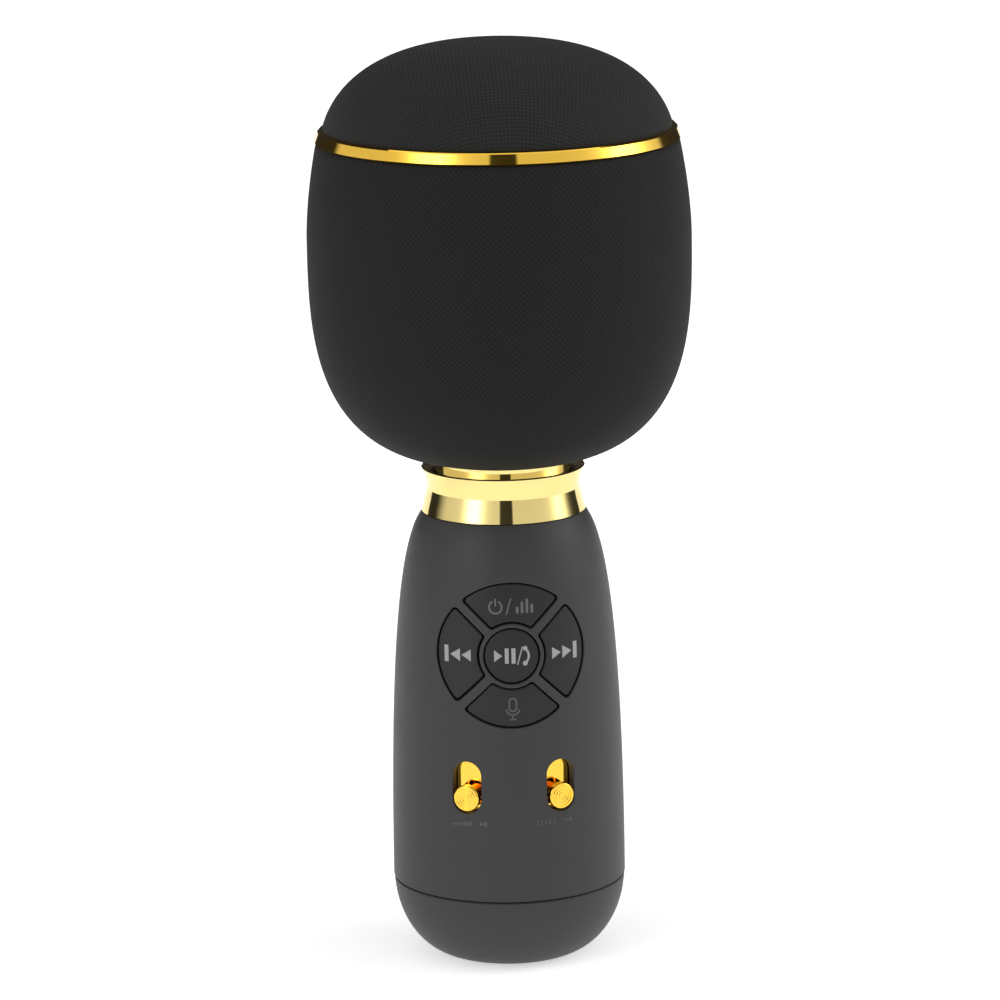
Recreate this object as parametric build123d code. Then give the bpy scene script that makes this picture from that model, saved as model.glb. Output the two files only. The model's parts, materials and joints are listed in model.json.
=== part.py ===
from build123d import *
import os
from math import asin, cos, pi, radians, sin, sqrt

# Handheld karaoke microphone with a loudspeaker in its head, standing on its base.
# Millimetres. +Z runs up the axis from the middle of the base; the keys face -Y.

# ---- outside: cap and handle ----
cap_height = 18.75
cap_radius = 27.5
cap_flat_radius = 13.0
handle_radius = 27.7
handle_length = 88.85
shoulder_reach = 92.63  # height at which the handle's curve would close on the axis
seam_gap = 0.3
shell_wall = 2.2
cap_floor = 3.0
pad_radius = 13.4
pad_height = 1.5
pad_proud = 0.3

# ---- outside: neck and head ----
gasket_height = 0.3
collar_height = 13.1
collar_waist_inset = 1.35
collar_waist_height = 5.4
collar_rim_height = 10.9
collar_rim_inset = 0.15
collar_edge = 0.3
collar_neck_inset = 3.5
collar_neck_wall = 1.8
head_radius = 45.0
head_lower_reach = 53.66
head_upper_reach = 90.66
head_widest_above_handle = 65.4
ring_above_widest = 22.7
ring_height = 2.7
ring_proud = 0.42
ring_taper = 0.95
dome_rim_inset = 0.86
dome_reach = 27.73
dome_sink = 7.41  # how far the dome's own widest plane lies below the ring's top
fabric_thickness = 0.8
grille_wall = 2.0
glue_gap = 0.05

# ---- key cross ----
key_above_seam = 59.4
key_circle_radius = 16.8
centre_key_radius = 6.35
outer_key_inner_radius = 7.85
spoke_width = 2.6
key_corner = 0.8
key_gap = 0.3
key_recess = 0.4
key_lip = 0.6
key_lip_thickness = 1.0
key_lip_stop = 0.2
key_edge_round = 0.4
opening_edge_round = 0.25
key_travel = 0.6
key_post_radius = 1.5
key_post_offset = 10.6
switch_width = 6.0
switch_height = 3.0
plunger_radius = 1.7
plunger_proud = 1.0

# ---- slide controls ----
slider_angle = 23.9
slider_above_seam = 27.85
slider_slot_width = 7.0
slider_slot_height = 12.5
slider_travel = 5.0
slider_knob_radius = 3.1
slider_knob_thickness = 1.4
slider_knob_proud = 0.5
slider_stem_radius = 1.9
slider_plate_depth = 3.0
slider_plate_thickness = 1.2
pot_width = 9.0
pot_height = 20.0
pot_depth = 4.6

# ---- handle internals ----
board_thickness = 1.6
board_behind_shell = 12.0  # from the shell's inner face at the key cross to the board's front
board_height = 38.0
standoff_height = 1.6
chassis_plate = 2.0
chassis_floor = 2.0
cell_radius = 9.2
cell_length = 65.0
cell_foam = 0.9
cradle_wall = 1.8
port_board_thickness = 1.2
port_offset = 7.5
jack_bore_radius = 1.8
jack_bore_length = 12.0
jack_body_width = 6.4
jack_body_height = 4.8
jack_nose_radius = 2.3
charge_width = 8.94
charge_height = 3.26
charge_depth = 7.4

# ---- loudspeaker and capsule ----
neck_radius = 12.0
neck_bore_radius = 9.5
neck_flange_radius = 18.0
neck_flange_thickness = 2.5
neck_nut_height = 4.0
neck_nut_radius = 16.2
speaker_below_widest = 15.3
baffle_thickness = 2.5
ledge_width = 4.6
enclosure_wall = 2.0
speaker_depth = 23.0
magnet_radius = 16.0
magnet_thickness = 6.0
magnet_plate_thickness = 2.0
gasket_thickness = 0.7
flange_width = 6.0
flange_thickness = 1.5
coil_radius = 6.45
coil_wall = 0.5
cone_thickness = 0.5
cone_travel = 1.2
surround_width = 5.0
capsule_radius = 8.0
capsule_length = 13.5
foam_thickness = 3.5
holder_legs = 4
basket_rim_thickness = 4.0

# ---- fasteners and clearances ----
screw_radius = 1.1
cap_screw_length = 10.0
neck_screw_length = 5.0
speaker_screw_length = 5.0
baffle_screw_length = 7.0
screw_head_radius = 2.2
screw_head_height = 1.5
cap_tower_circle = 9.0
small_screw_radius = 0.9
small_screw_length = 4.5
small_head_radius = 1.7
small_head_height = 1.2
thread_gap = 0.05
running_gap = 0.3
assembly_gap = 0.5
wire_radius = 0.6
wire_bend = 4.0
wire_spread = (-0.6, 2.0)  # where the two loudspeaker wires rise, across the neck
capsule_wire_x = -3.2


class Bulge:
    """A quarter of a rounded profile, (r / span)^round_r + (dz / reach)^round_z = 1."""

    def __init__(self, radius, reach, round_r, round_z, level, side=1, flat=0.0):
        self.radius, self.reach, self.flat = radius, reach, flat
        self.round_r, self.round_z = round_r, round_z
        self.level, self.side = level, side

    def inset(self, amount):
        return Bulge(
            self.radius - amount, self.reach - amount, self.round_r, self.round_z,
            self.level, self.side, self.flat,
        )

    def radius_at(self, z):
        share = min(1.0, max(0.0, self.side * (z - self.level) / self.reach))
        span = self.radius - self.flat
        return self.flat + span * (1 - share**self.round_z) ** (1 / self.round_r)

    def z_at(self, radius):
        share = min(1.0, max(0.0, (radius - self.flat) / (self.radius - self.flat)))
        return self.level + self.side * self.reach * (1 - share**self.round_r) ** (1 / self.round_z)

    def angle_at(self, z):
        share = min(1.0, max(0.0, self.side * (z - self.level) / self.reach))
        return asin(share ** (self.round_z / 2))

    def point(self, angle, offset):
        span = self.radius - self.flat
        across = round(cos(angle), 6)  # exactly nothing where the curve meets the axis
        radius = self.flat + span * across ** (2 / self.round_r) - offset
        return Vector(radius, 0, self.level + self.side * self.reach * sin(angle) ** (2 / self.round_z))

    def heading(self, angle):
        """Direction of the curve at that angle, away from the widest plane."""
        angle = min(max(angle, 1e-3), pi / 2 - 1e-3)
        across, up = 2 / self.round_r, 2 / self.round_z
        run = (self.radius - self.flat) * across * cos(angle) ** (across - 1) * sin(angle)
        rise = self.side * self.reach * up * sin(angle) ** (up - 1) * cos(angle)
        return Vector(-run, 0, rise).normalized()

    def curve(self, z_from, z_to, offset=0.0, steps=14):
        """The profile between two heights as one smooth edge, moved inwards by offset."""
        first, last = self.angle_at(z_from), self.angle_at(z_to)
        angles = [first + (last - first) * step / steps for step in range(steps + 1)]
        way = 1 if last > first else -1
        ends = [self.heading(first) * way, self.heading(last) * way]
        return Spline(*[self.point(angle, offset) for angle in angles], tangents=ends)


# ---- levels and profiles worked out from the driving sizes ----
seam_z = cap_height + seam_gap
handle_top = seam_z + handle_length
collar_bottom = handle_top + gasket_height
collar_top = handle_top + collar_height
head_level = handle_top + head_widest_above_handle
ring_bottom = head_level + ring_above_widest
ring_top = ring_bottom + ring_height
key_z = seam_z + key_above_seam - seam_gap
slider_z = seam_z + slider_above_seam - seam_gap
baffle_z = head_level - speaker_below_widest

cap_outside = Bulge(cap_radius, cap_height, 2.07, 1.85, cap_height, -1, cap_flat_radius)
handle_outside = Bulge(handle_radius, shoulder_reach, 6.75, 2.22, seam_z)
head_lower = Bulge(head_radius, head_lower_reach, 3.04, 3.04, head_level, -1)
head_upper = Bulge(head_radius, head_upper_reach, 1.68, 1.68, head_level)

ring_bottom_radius = head_upper.radius_at(ring_bottom) + ring_proud
ring_top_radius = ring_bottom_radius - ring_taper
dome_rim_radius = ring_top_radius - dome_rim_inset
dome_shape = Bulge(1.0, dome_reach, 2.49, 2.28, ring_top - dome_sink)
dome_radius = dome_rim_radius / dome_shape.radius_at(ring_top)
dome_outside = Bulge(dome_radius, dome_reach, 2.49, 2.28, ring_top - dome_sink)

basket_outside_inset = fabric_thickness + glue_gap
basket_inside_inset = basket_outside_inset + grille_wall
basket_lower_outside = head_lower.inset(basket_outside_inset)
basket_lower_inside = head_lower.inset(basket_inside_inset)
basket_upper_outside = head_upper.inset(basket_outside_inset)
basket_upper_inside = head_upper.inset(basket_inside_inset)

shell_inner_at_keys = handle_outside.radius_at(key_z) - shell_wall
board_front = board_behind_shell - shell_inner_at_keys
board_back = board_front + board_thickness
plate_front = board_back + standoff_height
plate_back = plate_front + chassis_plate
cradle_radius = cell_radius + cell_foam + 0.1
cell_y = plate_back + 0.2 + cradle_radius
plunger_top = board_front - switch_height - plunger_proud
bore_step = shell_wall - 0.8  # the shell's lower end is thinned to seat the cap and chassis
shell_counterbore = handle_radius - bore_step
chassis_floor_z = seam_z + 3.0
port_board_z = chassis_floor_z + chassis_floor + 1.0
jack_z = port_board_z + port_board_thickness + jack_body_height / 2
charge_z = port_board_z + port_board_thickness + charge_height / 2
cell_bottom = port_board_z + port_board_thickness + jack_body_height + 2.0
cell_top = cell_bottom + cell_length


# ---- small makers ----
def profile(*edges):
    return make_face(Curve() + list(edges))


def corners(*points):
    """Straight edges through (radius, z) pairs or ends of curves."""
    return Polyline(*[p if isinstance(p, Vector) else (p[0], 0, p[1]) for p in points])


def lathe(*edges):
    """Turn a closed outline of (radius, z) edges about the Z axis."""
    return revolve(profile(*edges), Axis.Z)


def turned(*points):
    """A solid of revolution with straight-sided outline, given by its corners."""
    return lathe(corners(*points, points[0]))


def disc(radius, z_low, z_high, x=0.0, y=0.0):
    base = (Align.CENTER, Align.CENTER, Align.MIN)
    return Pos(x, y, z_low) * Cylinder(radius, z_high - z_low, align=base)


def ring(outer, inner, z_low, z_high, x=0.0, y=0.0):
    return disc(outer, z_low, z_high, x, y) - disc(inner, z_low, z_high, x, y)


def block(x_low, x_high, y_low, y_high, z_low, z_high):
    size = Box(x_high - x_low, y_high - y_low, z_high - z_low, align=(Align.MIN,) * 3)
    return Pos(x_low, y_low, z_low) * size


def peg(radius, x, z, y_low, y_high):
    """A round bar along Y."""
    middle = Pos(x, (y_low + y_high) / 2, z) * Rot(90, 0, 0)
    return middle * Cylinder(radius, y_high - y_low)


def at_front(sketch, y_from, depth):
    """Raise a front-view sketch (X to the right, Y up) backwards from y_from by depth."""
    return extrude(Plane.XZ * Pos(0, 0, -y_from) * sketch, -depth)


def around(solid, count, first=0.0):
    return [Rot(0, 0, first + 360 * turn / count) * solid for turn in range(count)]


def screw(x, y, z_face, length, up=True):
    """A pan-head screw whose head lies on z_face and whose shank runs the other way."""
    side = 1 if up else -1
    head_far = z_face + side * screw_head_height
    shank_far = z_face - side * length
    head = disc(screw_head_radius, min(z_face, head_far), max(z_face, head_far), x, y)
    shank = disc(screw_radius, min(z_face, shank_far), max(z_face, shank_far), x, y)
    drive = Pos(x, y, head_far - side * 0.3) * (Box(2.4, 0.6, 0.6) + Box(0.6, 2.4, 0.6))
    return head + shank - drive


def save(name, *solids):
    """Write one node: a single solid, or a group of separate solids."""
    parts = [solid for item in solids for solid in item.solids()]
    shape = parts[0] if len(parts) == 1 else Compound(children=parts)
    export_step(shape, f"parts/{name}.step")


# ---- handle, cap and seam ----
def handle_core(offset, z_low, z_high):
    """Everything inside the handle's curve moved inwards by offset."""
    side = handle_outside.curve(z_low, z_high, offset)
    return lathe(side, corners(side @ 1, (0, z_high), (0, z_low), side @ 0))


def sector_face(grow, inner_grow):
    """Front view of the top outer key, with its outline grown by an amount, less on its inner arc."""
    spread = (spoke_width / 2 - grow) * sqrt(2)
    far = key_circle_radius * 2
    wedge = make_face(Polyline((0, spread), (far, far + spread), (-far, far + spread), (0, spread)))
    band = Circle(key_circle_radius + grow) - Circle(outer_key_inner_radius - inner_grow)
    face = band & wedge
    return fillet(face.vertices(), key_corner)


key_names = {"power_mode": 0, "previous": 90, "voice": 180, "next": 270, "play_call": None}


def key_face(name, grow=0.0):
    turn = key_names[name]
    face = Circle(centre_key_radius + grow) if turn is None else Rot(0, 0, turn) * sector_face(grow, grow)
    return Pos(0, key_z) * face


def lip_face(name):
    """Outline of a key's retaining lip, which stops short of the centre key beside it."""
    turn = key_names[name]
    if turn is None:
        return key_face(name, key_lip)
    return Pos(0, key_z) * Rot(0, 0, turn) * sector_face(key_lip, -key_lip_stop)


def key_post_place(name):
    turn = key_names[name]
    if turn is None:
        return 0.0, key_z
    return -key_post_offset * sin(radians(turn)), key_z + key_post_offset * cos(radians(turn))


def slider_place(side):
    """The slide controls point outwards at slider_angle to each side of the front."""
    return Rot(0, 0, side * slider_angle)


def obround(width, height):
    return SlotOverall(height, width, rotation=90)


shell_at_slider = handle_outside.radius_at(slider_z)
slider_plate_front = slider_plate_depth - shell_at_slider
knob_rest_z = slider_z - slider_travel / 2


def handle_shell():
    outer = handle_core(0, seam_z, handle_top)
    inner = handle_core(shell_wall, seam_z, handle_top - shell_wall - 0.3)
    shell = outer - inner - disc(neck_radius + running_gap, seam_z, handle_top + 1)
    shell -= disc(shell_counterbore, seam_z, chassis_floor_z + chassis_floor)
    bottom = shell.edges().group_by(Axis.Z)[0].sort_by(SortBy.LENGTH)[-1]
    shell = chamfer(bottom, seam_gap * 0.8)
    for name in key_names:
        shell -= at_front(key_face(name, key_gap), -2 * handle_radius, 2 * handle_radius)
    for side in (-1, 1):
        slot = at_front(
            Pos(0, slider_z) * obround(slider_slot_width, slider_slot_height),
            -2 * handle_radius, 2 * handle_radius,
        )
        shell -= slider_place(side) * slot
    shell -= peg(jack_nose_radius + running_gap, -port_offset, jack_z, 0, 2 * handle_radius)
    gap = 2 * running_gap
    charge_hole = Pos(port_offset, charge_z) * SlotOverall(charge_width + gap, charge_height + gap)
    shell -= at_front(charge_hole, 0, 2 * handle_radius)
    skin = max(shell.faces(), key=lambda face: face.area)
    openings = [edge for wire_loop in skin.inner_wires() for edge in wire_loop.edges()]
    return fillet(openings, opening_edge_round)


def around_points(count, radius, first=0.0):
    places = []
    for turn in range(count):
        angle = radians(first + 360 * turn / count)
        places.append((radius * cos(angle), radius * sin(angle)))
    return places


def cap_tower_places():
    return around_points(3, cap_tower_circle, 90)


tower_top = chassis_floor_z - 8.0
cap_screw_seat = tower_top - 4.0
spigot_radius = shell_counterbore - running_gap


def bottom_cap():
    rim = cap_height - seam_gap * 0.8
    side = cap_outside.curve(pad_proud, rim)
    shoulder = shell_counterbore + 0.4
    outline = corners(
        side @ 1, (cap_radius - seam_gap * 0.8, cap_height), (shoulder, cap_height),
        (shoulder, seam_z), (spigot_radius, seam_z), (spigot_radius, chassis_floor_z),
        (0, chassis_floor_z), (0, pad_proud), side @ 0,
    )
    bowl = lathe(side, outline)
    inside = Bulge(spigot_radius - 1.8, cap_height - cap_floor, 2.07, 1.85, cap_height, -1, 10.0)
    hollow = inside.curve(cap_floor, cap_height)
    above = chassis_floor_z + 1
    bowl -= lathe(
        hollow, corners(hollow @ 1, (inside.radius, above), (0, above), (0, cap_floor), hollow @ 0)
    )
    bowl -= disc(pad_radius + 0.2, 0, pad_height)
    for x, y in cap_tower_places():
        bowl += disc(4.2, pad_height, tower_top, x, y)
        bowl -= disc(screw_head_radius + running_gap, 0, cap_screw_seat, x, y)
        bowl -= disc(screw_radius + running_gap, 0, tower_top + 1, x, y)
    return bowl


def base_pad():
    pad = disc(pad_radius, 0, pad_height)
    return chamfer(pad.edges().group_by(Axis.Z)[0], pad_proud)


def cap_screws():
    return [screw(x, y, cap_screw_seat, cap_screw_length, up=False) for x, y in cap_tower_places()]


# ---- keys ----
def distance_from_axis(face):
    middle = face.center()
    return sqrt(middle.X**2 + middle.Y**2)


def key(name):
    if name == "previous":
        return mirror(key("next"), Plane.YZ)
    z_low, z_high = key_z - key_circle_radius - 3, key_z + key_circle_radius + 3
    lip_outer = shell_wall + running_gap
    lip_inner = lip_outer + key_lip_thickness
    cap_shape = handle_core(key_recess, z_low, z_high) - handle_core(lip_inner, z_low - 1, z_high + 1)
    lip_shape = handle_core(lip_outer, z_low, z_high) - handle_core(lip_inner, z_low - 1, z_high + 1)
    solid = at_front(key_face(name), -2 * handle_radius, 2 * handle_radius) & cap_shape
    solid += at_front(lip_face(name), -2 * handle_radius, 2 * handle_radius) & lip_shape
    front = max(solid.faces().filter_by(GeomType.REVOLUTION), key=distance_from_axis)
    solid = fillet(front.edges(), key_edge_round)
    x, z = key_post_place(name)
    lip_depth = handle_outside.radius_at(z) - lip_inner
    root = -sqrt(lip_depth**2 - x**2) - key_lip_thickness / 2
    return solid + peg(key_post_radius, x, z, root, plunger_top)


def plunger(name):
    x, z = key_post_place(name)
    return peg(plunger_radius, x, z, plunger_top, plunger_top + plunger_proud + 1.1)


def tact_switches():
    half = switch_width / 2
    switches = []
    for name in key_names:
        x, z = key_post_place(name)
        body = block(x - half, x + half, board_front - switch_height, board_front, z - half, z + half)
        depth = plunger_proud + 1.1 + key_travel + 0.2
        body -= peg(plunger_radius + 0.15, x, z, plunger_top, plunger_top + depth)
        switches.append(body)
    return switches


guide_front = plunger_top - 1.0
guide_back = guide_front + 0.8
guide_posts = [(x, z) for x in (-6.5, 6.5) for z in (key_z - 6.5, key_z + 6.5)]


def key_guide():
    """A thin plate that the key posts pass through, on four feet against the board."""
    reach = key_post_offset + key_post_radius + 4.0
    plate = peg(reach, 0, key_z, guide_front, guide_back)
    behind_keys = shell_wall + key_lip_thickness + key_travel + 2 * running_gap
    plate &= handle_core(behind_keys, key_z - reach - 1, key_z + reach + 1)
    for name in key_names:
        x, z = key_post_place(name)
        plate -= peg(key_post_radius + 0.4, x, z, guide_front - 1, guide_back + 1)
    for x, z in guide_posts:
        plate += peg(1.4, x, z, guide_front, board_front)
    return plate


# ---- boards and chassis ----
neck_wire_y = 2.1 - neck_bore_radius  # the wires rise just inside the neck's bore
board_low = key_z - board_height / 2
board_high = key_z + board_height / 2
board_corner = handle_outside.radius_at(board_high) - shell_wall - 1.0
board_half_width = min(16.0, sqrt(board_corner**2 - board_front**2))
board_screw_places = [
    (side * (board_half_width - 3.0), z) for side in (-1, 1) for z in (board_low + 2.8, key_z + 8.5)
]


def small_screw(x, z):
    head = peg(small_head_radius, x, z, board_front - small_head_height, board_front)
    return head + peg(small_screw_radius, x, z, board_front, board_front + small_screw_length)


def main_board():
    board = block(-board_half_width, board_half_width, board_front, board_back, board_low, board_high)
    board = fillet(board.edges().filter_by(Axis.Y), 1.5)
    for x, z in board_screw_places:
        board -= peg(small_screw_radius + 0.2, x, z, board_front - 1, board_back + 1)
    return board


connector_bottom = board_high - 7.0
chassis_top = connector_bottom - 1.5


def board_components():
    """A wire socket and an amplifier chip behind the board, two chips in front of it."""
    back, front = board_back, board_front
    parts = [
        block(-5.0, 4.0, back, neck_wire_y + 1.2, connector_bottom, board_high),
        block(6.0, 11.0, back, back + 2.4, connector_bottom, board_high - 1.0),
    ]
    lowest = board_low + 1.2
    parts.append(block(-7.5, -3.2, front - 1.0, front, lowest, lowest + 4.0))
    parts.append(block(3.2, 7.5, front - 1.0, front, lowest, lowest + 4.0))
    return parts


def inner_chassis():
    front, back = plate_front, plate_back
    half = board_half_width
    floor_top = chassis_floor_z + chassis_floor
    solid = disc(spigot_radius, chassis_floor_z, floor_top)
    plate = block(-half, half, front, back, floor_top - 1, chassis_top)
    cradle_low = cell_bottom - 1.5
    cradle = ring(cradle_radius + cradle_wall, cradle_radius, cradle_low, chassis_top, 0, cell_y)
    mouth = cell_y + (cradle_radius + cradle_wall) * cos(radians(50))
    cradle -= block(-half, half, mouth, mouth + 3 * cell_radius, cradle_low - 1, chassis_top + 1)
    cradle += disc(cradle_radius + 0.5, cradle_low, cell_bottom, 0, cell_y)
    limit = handle_core(shell_wall + assembly_gap, floor_top - 1, chassis_top)
    solid += (plate + cradle) & limit
    for x, y in cap_tower_places():
        solid += disc(3.4, tower_top, chassis_floor_z + 0.5, x, y)
        solid -= disc(screw_radius + thread_gap, tower_top - 1, floor_top - 0.6, x, y)
    for x, z in board_screw_places:
        solid += peg(2.4, x, z, board_back, front + 0.5)
        solid -= peg(small_screw_radius + thread_gap, x, z, board_back - 1, back + 1)
    for x, y in port_screw_places:
        solid += disc(2.4, floor_top - 0.5, port_board_z, x, y)
        solid -= disc(screw_radius + thread_gap, chassis_floor_z - 1, port_board_z + 1, x, y)
    for side in (-1, 1):
        pedestal = block(
            -slider_board_half, slider_board_half, slider_board_back, front + 1.0,
            slider_z - pot_height / 2, slider_z + pot_height / 2,
        )
        solid += slider_place(side) * pedestal
    solid -= disc(cradle_radius, cell_bottom, chassis_top + 1, 0, cell_y)
    return solid - block(-2.5, 2.5, cell_y - 0.8, cell_y + 0.8, cradle_low - 1, cell_bottom + 1)


port_board_half = 14.0
port_board_front_y = plate_back + 1.0
port_board_back_y = sqrt((handle_radius - shell_wall - 1.0) ** 2 - port_board_half**2)
port_screw_places = [(side * 11.2, port_board_front_y + 3.2) for side in (-1, 1)]


def port_board():
    top = port_board_z + port_board_thickness
    board = block(
        -port_board_half, port_board_half, port_board_front_y, port_board_back_y, port_board_z, top
    )
    for x, y in port_screw_places:
        board -= disc(screw_radius + 0.2, port_board_z - 1, top + 1, x, y)
    return board


jack_face = sqrt((handle_radius - shell_wall) ** 2 - (port_offset + jack_body_width / 2) ** 2) - 0.3


def aux_jack():
    """A socket for a 3.5 mm plug, with a nose that fills the hole in the shell."""
    top = port_board_z + port_board_thickness
    half = jack_body_width / 2
    nose_end = sqrt((handle_radius - 0.6) ** 2 - (port_offset + jack_nose_radius) ** 2)
    body = block(
        -port_offset - half, -port_offset + half, jack_face - 12.5, jack_face,
        top, top + jack_body_height,
    )
    body += peg(jack_nose_radius, -port_offset, jack_z, jack_face - 1, nose_end)
    return body - peg(jack_bore_radius, -port_offset, jack_z, nose_end - jack_bore_length, nose_end + 1)


def charge_port():
    """A rounded steel receptacle with the contact tongue in its mouth."""
    mouth = sqrt((handle_radius - shell_wall) ** 2 - (port_offset + charge_width / 2) ** 2) - 0.3
    outer = Pos(port_offset, charge_z) * SlotOverall(charge_width, charge_height)
    inner = Pos(port_offset, charge_z) * SlotOverall(charge_width - 0.6, charge_height - 0.6)
    body = at_front(outer, mouth - charge_depth, charge_depth)
    body -= at_front(inner, mouth - charge_depth + 1.0, charge_depth)
    tongue = block(
        port_offset - 3.3, port_offset + 3.3, mouth - charge_depth + 0.5, mouth - 0.8,
        charge_z - 0.35, charge_z + 0.35,
    )
    return body + tongue


def battery_cell():
    cell = disc(cell_radius, cell_bottom, cell_top, 0, cell_y)
    return fillet(cell.edges(), 0.8) + disc(2.8, cell_top - 0.5, cell_top + 0.6, 0, cell_y)


def battery_foam():
    inner, outer = cell_radius + 0.02, cradle_radius - 0.02
    bands = (cell_bottom + 6, cell_top - 20)
    return [ring(outer, inner, low, low + 9, 0, cell_y) for low in bands]


# ---- slide controls ----
pot_front = slider_plate_front + slider_plate_thickness + 0.6
pot_back = pot_front + pot_depth
slider_board_half = pot_width / 2
slider_board_back = pot_back + 1.2


def slider_knob():
    """Knob, stem and the wide carrier plate that closes the slot from behind."""
    face = -shell_at_slider - slider_knob_proud
    half_height = slider_slot_height / 2 + slider_travel / 2 + 0.8
    half_width = slider_slot_width / 2 + 0.8
    back = slider_plate_front + slider_plate_thickness
    plate = block(-half_width, half_width, slider_plate_front, back, -half_height, half_height)
    plate = fillet(plate.edges().filter_by(Axis.Y), 1.5)
    knob = peg(slider_knob_radius, 0, 0, face, face + slider_knob_thickness)
    knob = fillet(knob.edges().group_by(Axis.Y)[0], 0.35)
    for groove in (0.8, 1.5, 2.2):
        cut = peg(groove + 0.16, 0, 0, face - 1, face + 0.14) - peg(groove, 0, 0, face - 1, face + 0.14)
        knob -= cut
    stem = peg(slider_stem_radius, 0, 0, face + slider_knob_thickness - 0.2, slider_plate_front + 0.2)
    return Pos(0, 0, knob_rest_z) * (plate + knob + stem)


def pot_lever():
    back = slider_plate_front + slider_plate_thickness
    lever = block(-1.0, 1.0, back, pot_front + 2.4, -0.6, 0.6)
    return Pos(0, 0, knob_rest_z) * lever


def slide_pot():
    half = pot_width / 2
    body = block(-half, half, pot_front, pot_back, slider_z - pot_height / 2, slider_z + pot_height / 2)
    reach = slider_travel / 2 + 0.6 + running_gap
    return body - block(-1.3, 1.3, pot_front - 1, pot_front + 2.7, slider_z - reach, slider_z + reach)


def slider_board():
    half, tall = slider_board_half, pot_height / 2
    return block(-half, half, pot_back, slider_board_back, slider_z - tall, slider_z + tall)


# ---- neck ----
nut_top = handle_top - shell_wall - 0.3
basket_floor_top = collar_top + 3.5
neck_top = basket_floor_top + neck_flange_thickness
neck_bottom = nut_top - neck_nut_height - 0.4


def neck_tube():
    tube = ring(neck_radius, neck_bore_radius, neck_bottom, neck_top)
    tube += ring(neck_flange_radius, neck_bore_radius, basket_floor_top, neck_top)
    for x, y in around_points(3, neck_screw_circle, 30):
        tube -= disc(screw_radius + running_gap, basket_floor_top - 1, neck_top + 1, x, y)
    return tube


neck_screw_circle = (neck_radius + neck_flange_radius) / 2


def neck_nut():
    nut = ring(neck_nut_radius, neck_radius + thread_gap, nut_top - neck_nut_height, nut_top)
    notch = block(neck_nut_radius - 2, neck_nut_radius + 2, -1.5, 1.5, nut_top - 5, nut_top + 1)
    for cut in around(notch, 6):
        nut -= cut
    return nut


collar_foot_radius = handle_outside.radius_at(handle_top) + 0.1


def neck_collar():
    """A waisted ring: a conical foot, a flare up to a rim, and a narrower neck up to the head."""
    foot, waist_z = collar_foot_radius, collar_bottom + collar_waist_height
    waist, rim = foot - collar_waist_inset, foot - collar_rim_inset
    rim_z, top = handle_top + collar_rim_height, collar_top + 1.5
    edge_z, share = rim_z - collar_edge, 0.5
    half_way = (waist + (rim - waist) * share**2, 0, waist_z + (edge_z - waist_z) * share)
    flare = ThreePointArc((waist, 0, waist_z), half_way, (rim, 0, edge_z))
    neck = foot - collar_neck_inset
    hollow = neck - collar_neck_wall
    bore = neck_radius + running_gap
    outline = corners(
        (rim, edge_z), (rim - collar_edge, rim_z), (neck, rim_z), (neck, top), (hollow, top),
        (hollow, collar_bottom + 2.4), (bore, collar_bottom + 2.4), (bore, collar_bottom),
        (foot, collar_bottom), (waist, waist_z),
    )
    around_head = head_lower.inset(-glue_gap)
    side = around_head.curve(head_level - around_head.reach, head_level)
    return lathe(flare, outline) - lathe(side, corners(side @ 1, (0, head_level), side @ 0))


def collar_gasket():
    return ring(collar_foot_radius - 0.5, neck_radius + running_gap, handle_top, collar_bottom)


# ---- head: grille, fabric, ring ----
fabric_hem_radius = neck_radius + 3.6
dome_grille_outside = dome_outside.inset(fabric_thickness + glue_gap)
dome_grille_inside = dome_outside.inset(fabric_thickness + glue_gap + 1.6)
ring_bore = dome_rim_radius - 3.0
skirt_radius = ring_bore - running_gap
skirt_wall = 1.6


def body_fabric():
    """The cloth tube of the head, gathered in under it to a hem against the collar."""
    lower_inside = head_lower.inset(fabric_thickness)
    outer_low = head_lower.curve(head_lower.z_at(fabric_hem_radius), head_level)
    outer_high = head_upper.curve(head_level, ring_bottom)
    inner_low = lower_inside.curve(lower_inside.z_at(fabric_hem_radius), head_level)
    inner_high = head_upper.inset(fabric_thickness).curve(head_level, ring_bottom)
    return lathe(
        outer_low, outer_high, corners(outer_high @ 1, inner_high @ 1), inner_high,
        inner_low, corners(inner_low @ 0, outer_low @ 0),
    )


ledge_top = baffle_z
ledge_low = baffle_z - 3.0
ledge_inner = basket_lower_inside.radius_at(baffle_z) - ledge_width
baffle_screw_circle = ledge_inner + ledge_width / 2 + 0.1


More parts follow.
